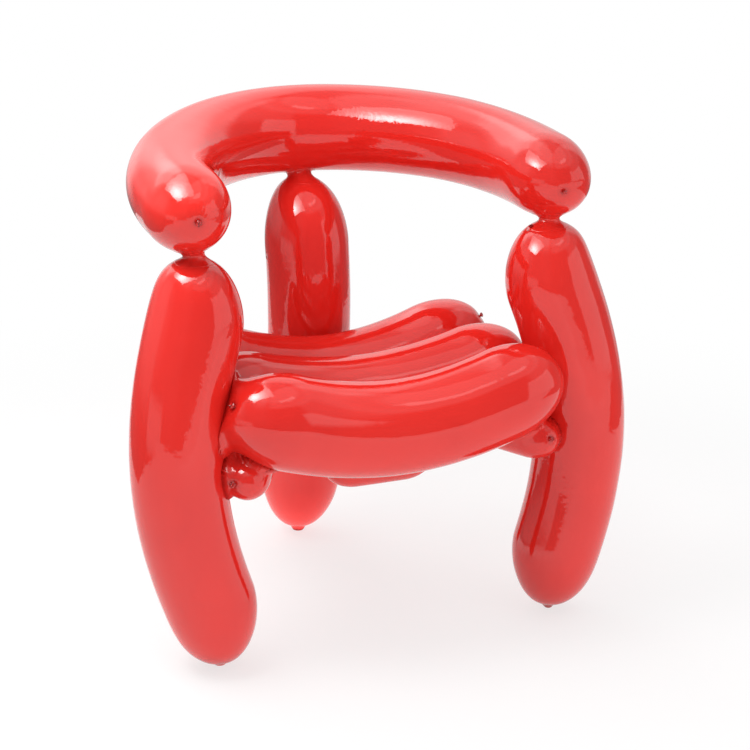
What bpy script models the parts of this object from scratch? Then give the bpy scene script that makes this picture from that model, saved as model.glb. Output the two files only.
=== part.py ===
"""Fibreglass lounge chair: ten glossy bladder-shaped shells, joined at pinched resin necks and
hidden dowels. A horseshoe arm rail stands on three legs, and three long bodies lying side by
side make the saddle-shaped seat. Three short bodies brace it from below.

Metres, +Z up. +X is to the right of someone who faces the chair's front, and the front is at -Y.
The origin is on the floor, under the middle of the chair's outline.
"""

import math

import bmesh
import bpy
import numpy as np
from mathutils import Matrix, Vector

# Gap left between bonded or inserted pieces, and the depth by which a bonded piece is hollowed
# to sit against its neighbour.
GAP = 0.0003
BOND_DEPTH = 0.0015

# Front legs: upright bodies that bow outwards and lean back, with their tips set off outwards.
LEG_HEIGHT = 0.575
LEG_FOOT_RADIUS = 0.0645
LEG_TOP_RADIUS = 0.067
LEG_STANCE = 0.229
LEG_TOP_SPREAD = 0.002
LEG_BOW = 0.072
LEG_LEAN = 0.058
LEG_FORWARD_BOW = 0.015
LEG_FOOT_CAP = 0.108
LEG_TOP_CAP = 0.106
LEG_FOOT_TIP_RADIUS = 0.013
LEG_TOP_TIP_RADIUS = 0.011
LEG_FOOT_NUB = 0.005
LEG_TOP_NUB = 0.003
LEG_FOOT_OFFSET = 0.025
LEG_TOP_OFFSET = 0.032
LEG_TOP_FORWARD = 0.010

# Rear leg: taller than the front ones, and bows forward until it meets the back of the seat.
REAR_LEG_RISE = 0.013
REAR_LEG_FOOT_RADIUS = 0.0615
REAR_LEG_TOP_RADIUS = 0.0645
REAR_LEG_OFFSET = 0.012
REAR_LEG_LEAN = 0.028
REAR_LEG_BOW = 0.042
REAR_BOW_SHARE = 1.5

# Arm rail: a horseshoe, thicker at the back, that rises towards the back.
RAIL_END_RADIUS = 0.0592
RAIL_REAR_RADIUS = 0.0654
RAIL_SIDE_SET = 0.0025
RAIL_END_REACH = 0.053
RAIL_REAR_SET = 0.0285
RAIL_END_DROP = 0.0105
RAIL_CAP = 0.080
RAIL_TIP_RADIUS = 0.006
# Knots of the rail's right half from its end to the back, as shares of its half width, of its
# depth and of its rise.
RAIL_KNOT_SHARES = (
    (1.04, 0, 0),
    (0.9975, 0.174, 0),
    (0.9915, 0.2713, 0.14),
    (0.8139, 0.6394, 0.77),
    (0, 1, 1),
)

# Pinched resin collars between the legs' tops and the rail.
NECK_GAP = 0.003
NECK_WAIST_RADIUS = 0.0135
NECK_FLARE = 0.008

# Seat: three bodies side by side, low in the middle and raised at both ends.
SEAT_RADIUS = 0.0667
SEAT_SQUEEZE = 0.003
SEAT_LEAD = 0.047
SEAT_HEIGHT = 0.326
SEAT_MIDDLE_STEP = 0.004
SEAT_REAR_STEP = 0.0085
SEAT_FRONT_RISE = 0.062
SEAT_MIDDLE_RISE = 0.053
SEAT_REAR_RISE = 0.069
SEAT_FRONT_LAP = 0.006
SEAT_MIDDLE_HALF_LENGTH = 0.250
SEAT_REAR_HALF_LENGTH = 0.242
SEAT_CAP = 0.090
SEAT_TIP_RADIUS = 0.006
SADDLE_SHARE = 1.94

# Supports: short slim bodies in the groove under the front and middle seat bodies, one in its
# middle and one against each front leg.
SUPPORT_RADIUS = 0.0315
SUPPORT_HALF_LENGTH = 0.066
SUPPORT_DROP = 0.047
SUPPORT_LEAD = 0.007
SUPPORT_INSET = 0.1005
SUPPORT_TURN = math.radians(27)
SUPPORT_CAP = 0.044
SUPPORT_TIP_RADIUS = 0.004
CENTRE_HALF_LENGTH = 0.080
CENTRE_OFFSET = -0.003

# Hidden fixings.
STUD_RADIUS = 0.006
STUD_LENGTH = 0.096
DOWEL_RADIUS = 0.005
DOWEL_LENGTH = 0.056
DOWEL_SPREAD = 0.120
SEAT_END_HOLD = 0.050
FIXING_CHAMFER = 0.0012

# Tied lips: the rolled mouths of the bladders that the shells were laid over.
LIP_RADIUS = 0.0042
LIP_ROLL = 0.0015
LIP_STANDOFF = 0.0032
LIP_STEM_RADIUS = 0.0022
LIP_STEM_DEPTH = 0.007
# How far down its dome, as a share of the dome's length, and how far round it, as a share of a
# turn, each lip lies.
LIP_PLACE_SHARES = {
    "rail_right": (0.028, 0.008),
    "rail_left": (0.003, 0.150),
    "seat_front": (0.002, 0.450),
    "seat_rear": (0.029, 0.417),
    "left_support": (0.077, 0.033),
    "right_support": (0.032, 0.125),
    "right_leg": (0.064, 0.483),
}

# Facets.
BODY_SIDES = 20
SUPPORT_SIDES = 14
FIXING_SIDES = 12
LIP_SIDES = 8
LEG_RINGS = 16
SEAT_RINGS = 13
RAIL_RINGS = 33
SUPPORT_RINGS = 8
CAP_RINGS = 6
AXIS_SAMPLES = 400
SMOOTH_ANGLE = math.radians(40)
# How fully a dome swells from its tip: half gives an ellipse, more gives a cone.
DOME_SHARE = 0.5
FOOT_DOME_SHARE = 0.64

SIDES = (("left", -1), ("right", 1))
UP = np.array((0.0, 0.0, 1.0))
BACK = np.array((0.0, 1.0, 0.0))
RED = (0.72, 0.022, 0.018)
RESIN_RED = (0.62, 0.018, 0.015)
LIP_RED = (0.30, 0.012, 0.014)
STEEL = (0.56, 0.57, 0.58)


def material(name, colour, roughness, metallic):
    """A plain surface of one colour."""
    made = bpy.data.materials.new(name)
    made.use_nodes = True
    shader = made.node_tree.nodes["Principled BSDF"]
    shader.inputs["Base Color"].default_value = (*colour, 1)
    shader.inputs["Roughness"].default_value = roughness
    shader.inputs["Metallic"].default_value = metallic
    return made


def new_piece(name, mesh, colour, roughness, metallic):
    """An object of the mesh, with a material of its own."""
    mesh.materials.append(material(name, colour, roughness, metallic))
    piece = bpy.data.objects.new(name, mesh)
    bpy.context.collection.objects.link(piece)
    return piece


def new_cutter(name, mesh):
    """A guide object that only shapes others."""
    cutter = bpy.data.objects.new(name, mesh)
    bpy.context.collection.objects.link(cutter)
    cutter.hide_render = True
    cutter.display_type = "WIRE"
    return cutter


def loft(name, rings):
    """A closed mesh over rings of equally many points, with a flat face on each end."""
    form = bmesh.new()
    rows = [[form.verts.new(point) for point in ring] for ring in rings]
    for row, above in zip(rows, rows[1:]):
        for i in range(len(row)):
            j = (i + 1) % len(row)
            form.faces.new((row[i], row[j], above[j], above[i]))
    form.faces.new(rows[0][::-1])
    form.faces.new(rows[-1])
    bmesh.ops.recalc_face_normals(form, faces=form.faces)
    mesh = bpy.data.meshes.new(name)
    form.to_mesh(mesh)
    form.free()
    return mesh


def turned(name, profile, sides):
    """A closed mesh turned about Z from (radius, height) points, lowest first."""
    angles = 2 * math.pi * np.arange(sides) / sides
    circle = np.stack((np.cos(angles), np.sin(angles), 0 * angles), axis=1)
    return loft(name, [radius * circle + height * UP for radius, height in profile])


def natural_spline(shares, knots):
    """A smooth curve through the knots, straight at both ends; shares place them along it."""
    at = np.asarray(shares, float)
    knots = np.asarray(knots, float)
    steps = np.diff(at)
    system = np.eye(len(at))
    bends = np.zeros_like(knots)
    for i in range(1, len(at) - 1):
        system[i, i - 1 : i + 2] = steps[i - 1], 2 * (steps[i - 1] + steps[i]), steps[i]
        bends[i] = 6 * ((knots[i + 1] - knots[i]) / steps[i] - (knots[i] - knots[i - 1]) / steps[i - 1])
    bends = np.linalg.solve(system, bends)

    def curve(share):
        share = np.asarray(share, float)
        i = np.clip(np.searchsorted(at, share, side="right") - 1, 0, len(at) - 2)
        near = ((at[i + 1] - share) / steps[i])[:, None]
        far = 1 - near
        curl = (near**3 - near) * bends[i] + (far**3 - far) * bends[i + 1]
        return near * knots[i] + far * knots[i + 1] + curl * (steps[i] ** 2)[:, None] / 6

    return curve


def unit(vectors):
    """The vectors at length one."""
    return vectors / np.linalg.norm(vectors, axis=-1, keepdims=True)


class Bladder:
    """A long round body along a smooth axis, with a domed end and a blunt tip at each end.

    axis takes shares of the way along to points, and radius takes them to the body's radius.
    caps, tips, nubs, skews and swells give each end's dome length, tip radius, straight tip
    length, how far its tip lies off the axis and how fully its dome swells. facing turns each
    tip's flat to face that way.
    """

    def __init__(self, axis, radius, caps, tips, across, nubs=(0, 0), skews=None, facing=None, swells=None):
        shares = np.linspace(0, 1, AXIS_SAMPLES + 1)
        self.points = axis(shares)
        steps = np.linalg.norm(np.diff(self.points, axis=0), axis=1)
        self.run = np.concatenate(([0], np.cumsum(steps)))
        self.length = self.run[-1]
        self.headings = unit(np.gradient(self.points, self.run, axis=0))
        self.radii = radius(shares)
        self.caps = caps
        self.tips = tips
        self.across = across
        self.nubs = nubs
        self.skews = skews or (0 * UP, 0 * UP)
        self.facing = facing
        self.swells = swells or (DOME_SHARE, DOME_SHARE)

    def along(self, values, distance):
        """Sampled values read at distances from the start."""
        return np.array([np.interp(distance, self.run, column) for column in values.T])

    def girth(self, distance):
        """The radius at a distance from the start."""
        full = np.interp(distance, self.run, self.radii)
        for end in (0, 1):
            reach = distance if end == 0 else self.length - distance
            tip = self.tips[end]
            share = (reach - self.nubs[end]) / (self.caps[end] - self.nubs[end])
            share = min(max(share, 0), 1)
            full = min(full, tip + (full - tip) * (2 * share - share**2) ** self.swells[end])
        return full

    def frame(self, distance):
        """Centre, heading, and the two directions across at a distance from the start."""
        centre = self.along(self.points, distance)
        heading = self.along(self.headings, distance)
        for end in (0, 1):
            reach = distance if end == 0 else self.length - distance
            pull = max(1 - reach / self.caps[end], 0) ** 2
            centre = centre + pull * self.skews[end]
            if self.facing is not None:
                heading = (1 - pull) * unit(heading) + pull * self.facing
        heading = unit(heading)
        side = unit(np.cross(self.across, heading))
        return centre, heading, side, np.cross(heading, side)

    def surface(self, distance, angle):
        """The point of the surface at a distance from the start and an angle round the axis."""
        centre, _, side, top = self.frame(distance)
        return centre + self.girth(distance) * (math.cos(angle) * side + math.sin(angle) * top)

    def distances(self, rings):
        """Where the rings lie: close together on the domes and even between them."""
        turn = np.linspace(0, math.pi / 2, CAP_RINGS + 1)
        first = self.nubs[0] + (self.caps[0] - self.nubs[0]) * (1 - np.cos(turn))
        last = self.length - self.nubs[1] - (self.caps[1] - self.nubs[1]) * (1 - np.cos(turn[::-1]))
        middle = np.linspace(first[-1], last[0], rings)[1:-1]
        ends = [[0] if self.nubs[0] else [], [self.length] if self.nubs[1] else []]
        return np.concatenate((ends[0], first, middle, last, ends[1]))

    def mesh(self, name, rings, sides):
        """The body's mesh."""
        angles = 2 * math.pi * np.arange(sides) / sides
        return loft(name, [[self.surface(d, a) for a in angles] for d in self.distances(rings)])

    def seat(self, distance, angle):
        """A matrix on the surface, whose Z points out of it."""
        step = self.length / AXIS_SAMPLES
        here = self.surface(distance, angle)
        onward = self.surface(distance + step, angle) - here
        round_it = self.surface(distance, angle + step / self.girth(distance)) - here
        out = unit(np.cross(round_it, onward))
        turn = Vector(out).to_track_quat("Z", "Y").to_matrix().to_4x4()
        return Matrix.Translation(Vector(here)) @ turn


def grown(piece):
    """A cutter in the shape of a piece, larger all round by the gap."""
    form = bmesh.new()
    form.from_mesh(piece.data)
    form.normal_update()
    moves = [(vert, vert.normal.copy()) for vert in form.verts]
    for vert, normal in moves:
        vert.co += GAP * normal
    mesh = bpy.data.meshes.new(piece.name + "_room")
    form.to_mesh(mesh)
    form.free()
    return new_cutter(mesh.name, mesh)


def cut(piece, *cutters):
    """Take the cutters away from a piece."""
    for cutter in cutters:
        step = piece.modifiers.new(cutter.name, "BOOLEAN")
        step.operation = "DIFFERENCE"
        step.object = cutter


def settle(piece):
    """Keep the cut shape as the piece's own mesh, smooth but for its edges."""
    seen = piece.evaluated_get(bpy.context.evaluated_depsgraph_get())
    mesh = bpy.data.meshes.new_from_object(seen)
    piece.modifiers.clear()
    piece.data = mesh
    mesh.shade_smooth()
    mesh.set_sharp_from_angle(angle=SMOOTH_ANGLE)


def aimed(centre, direction):
    """A matrix at a centre whose Z points in a direction."""
    turn = Vector(direction).to_track_quat("Z", "Y").to_matrix().to_4x4()
    return Matrix.Translation(Vector(centre)) @ turn


def rod_profile(radius, length):
    """Half outline of a rod with chamfered ends, centred on its middle."""
    half = length / 2
    inner = radius - FIXING_CHAMFER
    shoulder = half - FIXING_CHAMFER
    return (inner, -half), (radius, -shoulder), (radius, shoulder), (inner, half)


def rod(name, radius, length, place, pieces):
    """A steel rod at a matrix, and its bore in each of the pieces that it joins."""
    mesh = turned(name, rod_profile(radius, length), FIXING_SIDES)
    mesh.transform(place)
    made = new_piece(name, mesh, STEEL, 0.35, 1.0)
    reach = length / 2 + GAP
    room = turned(name + "_bore", ((radius + GAP, -reach), (radius + GAP, reach)), FIXING_SIDES)
    room.transform(place)
    bore = new_cutter(room.name, room)
    for piece in pieces:
        cut(piece, bore)
    return made


def lip_profile():
    """Half outline of a tied lip: a stem below the surface and a rolled ring with a dimple."""
    roll_centre = LIP_RADIUS - LIP_ROLL
    turns = np.radians((-60, 0, 60, 120, 180))
    ring = [(roll_centre + LIP_ROLL * math.cos(a), LIP_STANDOFF + LIP_ROLL * math.sin(a)) for a in turns]
    foot = (LIP_STEM_RADIUS, -LIP_STEM_DEPTH)
    neck = (LIP_STEM_RADIUS, LIP_STANDOFF - LIP_ROLL)
    dimple = (roll_centre - LIP_ROLL) / 2
    return [foot, neck, *ring, (dimple, LIP_STANDOFF - LIP_ROLL)]


def tied_lip(name, place, piece):
    """A tied lip on a body at a matrix, with its stem's bore in the body."""
    mesh = turned(name, lip_profile(), LIP_SIDES)
    mesh.transform(place)
    made = new_piece(name, mesh, LIP_RED, 0.12, 0.0)
    reach = LIP_STEM_DEPTH + GAP
    outline = ((LIP_STEM_RADIUS + GAP, -reach), (LIP_STEM_RADIUS + GAP, reach))
    room = turned(name + "_bore", outline, LIP_SIDES)
    room.transform(place)
    cut(piece, new_cutter(room.name, room))
    return made


def leg_axis(side):
    """Axis of a front leg: x bows out and y leans back as z rises evenly."""

    def axis(share):
        bow = np.sin(math.pi * share)
        x = side * (LEG_STANCE + LEG_TOP_SPREAD * share + LEG_BOW * bow)
        y = LEG_LEAN * share - LEG_FORWARD_BOW * bow
        return np.stack((x, y, LEG_HEIGHT * share), axis=1)

    return axis


def leg_radius(share):
    """Radius of a front leg, which thickens towards its top."""
    return LEG_FOOT_RADIUS + (LEG_TOP_RADIUS - LEG_FOOT_RADIUS) * share


def upright(axis, radius, skews):
    """A leg's body, with a cone-shaped foot and a domed top."""
    caps = (LEG_FOOT_CAP, LEG_TOP_CAP)
    tips = (LEG_FOOT_TIP_RADIUS, LEG_TOP_TIP_RADIUS)
    nubs = (LEG_FOOT_NUB, LEG_TOP_NUB)
    return Bladder(axis, radius, caps, tips, BACK, nubs, skews, UP, (FOOT_DOME_SHARE, DOME_SHARE))


def front_leg(side):
    """The body of a front leg, standing with its foot at y = 0."""
    foot = np.array((side * LEG_FOOT_OFFSET, 0, 0))
    top = np.array((side * LEG_TOP_OFFSET, -LEG_TOP_FORWARD, 0))
    return upright(leg_axis(side), leg_radius, (foot, top))


def seat_axis(y, height, half_length, rise):
    """Axis of a seat body: x runs evenly and z rises towards both ends."""

    def axis(share):
        x = (2 * share - 1) * half_length
        z = height + rise * np.abs(2 * share - 1) ** SADDLE_SHARE
        return np.stack((x, y + 0 * x, z), axis=1)

    return axis


def seat_body(y, height, half_length, rise):
    """A body of the seat."""
    radius = lambda share: SEAT_RADIUS + 0 * share
    caps = (SEAT_CAP, SEAT_CAP)
    tips = (SEAT_TIP_RADIUS, SEAT_TIP_RADIUS)
    return Bladder(seat_axis(y, height, half_length, rise), radius, caps, tips, UP)


def rear_leg_body(foot_y):
    """The rear leg: upright, with a forward bow that is fullest above its middle."""

    def axis(share):
        bow = np.sin(math.pi * share**REAR_BOW_SHARE)
        y = foot_y - REAR_LEG_LEAN * share - REAR_LEG_BOW * bow
        return np.stack((REAR_LEG_OFFSET + 0 * share, y, rear_leg_height * share), axis=1)

    radius = lambda share: REAR_LEG_FOOT_RADIUS + (REAR_LEG_TOP_RADIUS - REAR_LEG_FOOT_RADIUS) * share
    return upright(axis, radius, None)


def rail_body(half_width, end_y, rear_y, height, rise):
    """The arm rail, from its right end round the back to its left end."""
    half = []
    for wide, deep, high in RAIL_KNOT_SHARES:
        half.append((wide * half_width, end_y + deep * (rear_y - end_y), height + high * rise))
    knots = np.array(half + half[-2::-1])
    knots[len(half) :, 0] *= -1
    knots[(0, -1), 2] -= RAIL_END_DROP
    spans = np.linalg.norm(np.diff(knots[:, :2], axis=0), axis=1)
    shares = np.concatenate(([0], np.cumsum(spans))) / spans.sum()
    axis = natural_spline(shares, knots)

    def radius(share):
        deep = np.clip((axis(share)[:, 1] - end_y) / (rear_y - end_y), 0, 1)
        return RAIL_END_RADIUS + (RAIL_REAR_RADIUS - RAIL_END_RADIUS) * deep

    caps = (RAIL_CAP, RAIL_CAP)
    tips = (RAIL_TIP_RADIUS, RAIL_TIP_RADIUS)
    return Bladder(axis, radius, caps, tips, UP)


def drop_below(body, x, y):
    """How far a body's underside at x, y lies below the origin's level."""
    apart = np.hypot(body.points[:, 0] - x, body.points[:, 1] - y)
    near = apart.argmin()
    girth = body.girth(body.run[near])
    return math.sqrt(girth**2 - apart[near] ** 2) - body.points[near, 2]


def at_height(body, height):
    """The distance along an upright body at which its axis has a height."""
    return np.interp(height, body.points[:, 2], body.run)


def between(near, far, reach):
    """A matrix on the line from one point to another, a reach away from the first."""
    heading = unit(far - near)
    return aimed(near + reach * heading, heading)


def collar(name, top, rail_axis_point):
    """A pinched resin collar on a leg's top, aimed halfway between upright and the rail."""
    heading = unit(UP + unit(rail_axis_point - top))
    heights = NECK_FLARE * np.sin(np.radians(np.arange(-90, 91, 22.5)))
    waist = NECK_WAIST_RADIUS + NECK_FLARE
    profile = [(waist - math.sqrt(NECK_FLARE**2 - min(h * h, NECK_FLARE**2)), h) for h in heights]
    mesh = turned(name, profile, BODY_SIDES)
    mesh.transform(aimed(top + NECK_GAP / 2 * UP, heading))
    return new_piece(name, mesh, RESIN_RED, 0.12, 0.0)


def support_body(start, finish):
    """A short straight body from one point to another."""
    axis = lambda share: start + share[:, None] * (finish - start)
    radius = lambda share: SUPPORT_RADIUS + 0 * share
    caps = (SUPPORT_CAP, SUPPORT_CAP)
    tips = (SUPPORT_TIP_RADIUS, SUPPORT_TIP_RADIUS)
    return Bladder(axis, radius, caps, tips, UP)


def shell(body, name, rings, sides=BODY_SIDES):
    """A glossy red shell in the shape of a body."""
    return new_piece(name, body.mesh(name, rings, sides), RED, 0.08, 0.0)


for old in list(bpy.data.objects):
    bpy.data.objects.remove(old)

# Front legs, whose feet stand at y = 0.
leg_bodies = {name: front_leg(side) for name, side in SIDES}
legs = {name: shell(leg_bodies[name], f"{name}_leg", LEG_RINGS) for name, _ in SIDES}
right_leg = leg_bodies["right"]
neck = right_leg.frame(right_leg.length)[0]

# Seat bodies, each against the one before it.
leg_by_seat = right_leg.frame(at_height(right_leg, SEAT_HEIGHT))[0]
leg_girth = right_leg.girth(at_height(right_leg, SEAT_HEIGHT))
front_half_length = leg_by_seat[0] - leg_girth + SEAT_FRONT_LAP
pitch = 2 * SEAT_RADIUS - SEAT_SQUEEZE
front_y = leg_by_seat[1] - SEAT_LEAD
middle_y = front_y + math.sqrt(pitch**2 - SEAT_MIDDLE_STEP**2)
rear_y = middle_y + math.sqrt(pitch**2 - SEAT_REAR_STEP**2)
middle_height = SEAT_HEIGHT - SEAT_MIDDLE_STEP
rear_height = middle_height - SEAT_REAR_STEP
seat_sizes = {
    "front": (front_y, SEAT_HEIGHT, front_half_length, SEAT_FRONT_RISE),
    "middle": (middle_y, middle_height, SEAT_MIDDLE_HALF_LENGTH, SEAT_MIDDLE_RISE),
    "rear": (rear_y, rear_height, SEAT_REAR_HALF_LENGTH, SEAT_REAR_RISE),
}
seat_bodies = {name: seat_body(*sizes) for name, sizes in seat_sizes.items()}
seats = {name: shell(body, f"seat_{name}", SEAT_RINGS) for name, body in seat_bodies.items()}

# Rear leg, placed so that its bow meets the back of the seat.
rear_leg_height = LEG_HEIGHT + REAR_LEG_RISE
rear_leg = rear_leg_body(0)
rear_touch = rear_leg.frame(at_height(rear_leg, rear_height))[0]
rear_girth = rear_leg.girth(at_height(rear_leg, rear_height))
rear_leg = rear_leg_body(rear_y + SEAT_RADIUS + rear_girth - BOND_DEPTH - rear_touch[1])
rear_neck = rear_leg.frame(rear_leg.length)[0]
legs["rear"] = shell(rear_leg, "rear_leg", LEG_RINGS)

# Arm rail, over the three necks.
plan = (neck[0] + RAIL_SIDE_SET, neck[1] - RAIL_END_REACH, rear_neck[1] + RAIL_REAR_SET)
rail_height = LEG_HEIGHT + NECK_GAP + drop_below(rail_body(*plan, 0, 0), neck[0], neck[1])
rear_drop = math.sqrt(RAIL_REAR_RADIUS**2 - (RAIL_REAR_SET - LEG_TOP_TIP_RADIUS) ** 2)
rail_rise = rear_leg_height + NECK_GAP + rear_drop - rail_height
rail = rail_body(*plan, rail_height, rail_rise)
arm_rail = shell(rail, "arm_rail", RAIL_RINGS)

# Supports in the groove under the front and middle seat bodies.
nest = SEAT_RADIUS + SUPPORT_RADIUS - BOND_DEPTH
groove = np.array((CENTRE_OFFSET, (front_y + middle_y) / 2, (SEAT_HEIGHT + middle_height) / 2))
down = unit(np.array((0, middle_height - SEAT_HEIGHT, front_y - middle_y)))
centre = groove + math.sqrt(nest**2 - pitch**2 / 4) * down
reach = np.array((CENTRE_HALF_LENGTH, 0, 0))
support_bodies = {"centre": support_body(centre - reach, centre + reach)}
support_height = SEAT_HEIGHT - SUPPORT_DROP
leg_by_support = right_leg.frame(at_height(right_leg, support_height))[0]
for name, side in SIDES:
    x = side * (leg_by_support[0] - SUPPORT_INSET)
    middle = np.array((x, leg_by_support[1] - SUPPORT_LEAD, support_height))
    heading = np.array((-side * math.sin(SUPPORT_TURN), math.cos(SUPPORT_TURN), 0))
    ends = [middle + way * SUPPORT_HALF_LENGTH * heading for way in (-1, 1)]
    support_bodies[name] = support_body(*ends)
supports = {}
for name, body in support_bodies.items():
    supports[name] = shell(body, f"{name}_support", SUPPORT_RINGS, SUPPORT_SIDES)

# Room for each body in its neighbours, taken before any of them is cut.
room = {name: grown(piece) for name, piece in legs.items()}
seat_room = {name: grown(piece) for name, piece in seats.items()}
rail_room = grown(arm_rail)
cut(seats["front"], room["left"], room["right"])
cut(seats["middle"], seat_room["front"], seat_room["rear"])
cut(seats["rear"], room["rear"])
for name, _ in SIDES:
    cut(supports[name], seat_room["front"], seat_room["middle"], room[name])
cut(supports["centre"], seat_room["front"], seat_room["middle"])

# Collars and the steel studs that run through them from leg to rail.
pieces = []
tops = {"left": neck * (-1, 1, 1), "right": neck, "rear": rear_neck}
for name, top in tops.items():
    near = np.hypot(rail.points[:, 0] - top[0], rail.points[:, 1] - top[1]).argmin()
    ring = collar(f"{name}_collar", top, rail.points[near])
    cut(ring, room[name], rail_room)
    place = aimed(top + NECK_GAP / 2 * UP, UP)
    pieces.append(rod(f"{name}_neck_stud", STUD_RADIUS, STUD_LENGTH, place, (ring, legs[name], arm_rail)))
    pieces.append(ring)

# Dowels between the seat bodies.
for name, after in (("front", "middle"), ("middle", "rear")):
    for side_name, side in SIDES:
        spots = []
        for which in (name, after):
            y, height, half_length, rise = seat_sizes[which]
            lift = rise * (DOWEL_SPREAD / half_length) ** SADDLE_SHARE
            spots.append(np.array((side * DOWEL_SPREAD, y, height + lift)))
        place = between(spots[0], spots[1], np.linalg.norm(spots[1] - spots[0]) / 2)
        title = f"{name}_{after}_{side_name}_dowel"
        pieces.append(rod(title, DOWEL_RADIUS, DOWEL_LENGTH, place, (seats[name], seats[after])))

# Dowels from the front legs into the front seat body and the supports.
for name, side in SIDES:
    body = leg_bodies[name]
    seat = seat_bodies["front"]
    seat_hold = SEAT_END_HOLD if side < 0 else seat.length - SEAT_END_HOLD
    joints = (
        (f"{name}_leg_dowel", seat.frame(seat_hold)[0], seats["front"]),
        (f"{name}_support_dowel", support_bodies[name].frame(SUPPORT_CAP)[0], supports[name]),
    )
    for title, hold, piece in joints:
        level = at_height(body, hold[2])
        place = between(body.frame(level)[0], hold, body.girth(level))
        pieces.append(rod(title, DOWEL_RADIUS, DOWEL_LENGTH, place, (legs[name], piece)))

# Dowels from the rear leg into the rear seat body, and from the centre support into the front one.
touch = rear_leg.frame(at_height(rear_leg, rear_height))[0]
place = aimed(touch - rear_girth * BACK, BACK)
pieces.append(rod("rear_leg_dowel", DOWEL_RADIUS, DOWEL_LENGTH, place, (legs["rear"], seats["rear"])))
over = np.array((CENTRE_OFFSET, front_y, SEAT_HEIGHT))
place = between(centre, over, SUPPORT_RADIUS)
centre_pair = (supports["centre"], seats["front"])
pieces.append(rod("centre_support_dowel", DOWEL_RADIUS, DOWEL_LENGTH, place, centre_pair))

# Tied lips near the tips that face the front or the side, and one on a leg's shoulder. Each is
# carried by the dome at the start of its body, or at the finish.
lip_domes = {
    "rail_right": (rail, 0, arm_rail),
    "rail_left": (rail, 1, arm_rail),
    "seat_front": (seat_bodies["front"], 0, seats["front"]),
    "seat_rear": (seat_bodies["rear"], 1, seats["rear"]),
    "left_support": (support_bodies["left"], 0, supports["left"]),
    "right_support": (support_bodies["right"], 0, supports["right"]),
    "right_leg": (right_leg, 1, legs["right"]),
}
for name, (body, end, piece) in lip_domes.items():
    down_share, turn_share = LIP_PLACE_SHARES[name]
    reach = down_share * body.caps[end]
    place = body.seat(body.length - reach if end else reach, math.tau * turn_share)
    pieces.append(tied_lip(f"{name}_lip", place, piece))

# All pieces stand on an empty that puts the middle of the outline over the origin.
chair = bpy.data.objects.new("chair", None)
bpy.context.collection.objects.link(chair)
chair.location = (0, -(front_y - SEAT_RADIUS + plan[2] + RAIL_REAR_RADIUS) / 2, 0)
pieces += [*legs.values(), *seats.values(), *supports.values(), arm_rail]
for piece in pieces:
    settle(piece)
for piece in pieces:
    piece.parent = chair
for guide in [other for other in bpy.data.objects if other.display_type == "WIRE"]:
    bpy.data.objects.remove(guide)
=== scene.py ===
import math

import bpy
import numpy as np
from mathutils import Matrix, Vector


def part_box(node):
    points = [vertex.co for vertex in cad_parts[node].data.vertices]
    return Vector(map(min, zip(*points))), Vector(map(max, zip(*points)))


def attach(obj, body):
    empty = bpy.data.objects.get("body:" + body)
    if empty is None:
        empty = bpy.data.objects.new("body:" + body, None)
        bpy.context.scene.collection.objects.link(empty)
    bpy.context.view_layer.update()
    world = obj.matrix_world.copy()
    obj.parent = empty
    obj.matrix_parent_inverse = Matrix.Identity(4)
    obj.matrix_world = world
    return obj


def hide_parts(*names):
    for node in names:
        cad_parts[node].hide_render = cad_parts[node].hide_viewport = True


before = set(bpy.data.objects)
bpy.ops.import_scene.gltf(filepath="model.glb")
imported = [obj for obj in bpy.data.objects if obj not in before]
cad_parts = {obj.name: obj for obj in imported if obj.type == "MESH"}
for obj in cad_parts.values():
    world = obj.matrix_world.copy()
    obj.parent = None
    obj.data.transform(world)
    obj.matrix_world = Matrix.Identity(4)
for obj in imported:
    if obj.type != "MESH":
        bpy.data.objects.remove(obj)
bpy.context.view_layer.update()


# Front legs. Each is a hollow fibreglass shell, laid up over a long inflated rubber form, sprayed
# with red gelcoat and polished by hand. It stands on the nub of the form's closed end, bows
# outwards, leans back and narrows to a neck under the arm rail.
LEG_HEIGHT = 0.575
LEG_RADII = (0.0645, 0.067)
LEG_STANCE = 0.229
LEG_TOP_SPREAD = 0.002
LEG_BOW = 0.072
LEG_LEAN = 0.058
LEG_FORWARD_BOW = 0.015
LEG_CAPS = (0.108, 0.106)
LEG_TIPS = (0.013, 0.011)
LEG_NUBS = {"left": (0.0065, 0.003), "right": (0.0095, 0.003)}
LEG_NUB_BASES = {"left": (0.0092, 0.011), "right": (0.0060, 0.011)}
LEG_FOOT_OFFSET = 0.025
LEG_TOP_OFFSET = 0.032
LEG_TOP_FORWARD = 0.010
LEG_SWELLS = (0.61, 0.5)
FRONT_FEET_Y = -0.1924
NUB_EDGE = 0.0014
NUB_EDGE_ROWS = 6
NUB_WALL_ROWS = 6
NUB_FLAT_SHARES = (0.35, 0.7)
# The rows of a nub, counted from its pole, that are softened, and how many times.
NUB_SOFT_ROWS = (4, 24)
NUB_SOFT_PASSES = 6
# A dome without a nub closes its tip to its pole within the quarter turn divided by this.
POLE_CLOSING = 5
SKIN_DEPTH = 0.00015
BOND_SINK = 0.0006
BOND_HALVINGS = 18
AXIS_SAMPLES = 600
COARSE_SAMPLES = 6
BATCH_POINTS = 20000
COLUMNS = 180
ROW_STEP = 0.0026
CAP_ROWS = 48
SIDES = {"left": -1, "right": 1}
UP = np.array((0.0, 0.0, 1.0))
BACK = np.array((0.0, 1.0, 0.0))
NEARLY_UP = UP + 0.1 * BACK
NOWHERE = np.zeros(3)
WAVE_LENGTHS = (0.016, 0.110)
WAVE_COUNT = 14
WAVE_SLOPE = 0.010
# The unevenness starts about one nub height from a nub's floor and is whole three further on.
SMOOTH_NUBS = 3
SMOOTH_SHARE = 0.34


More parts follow.
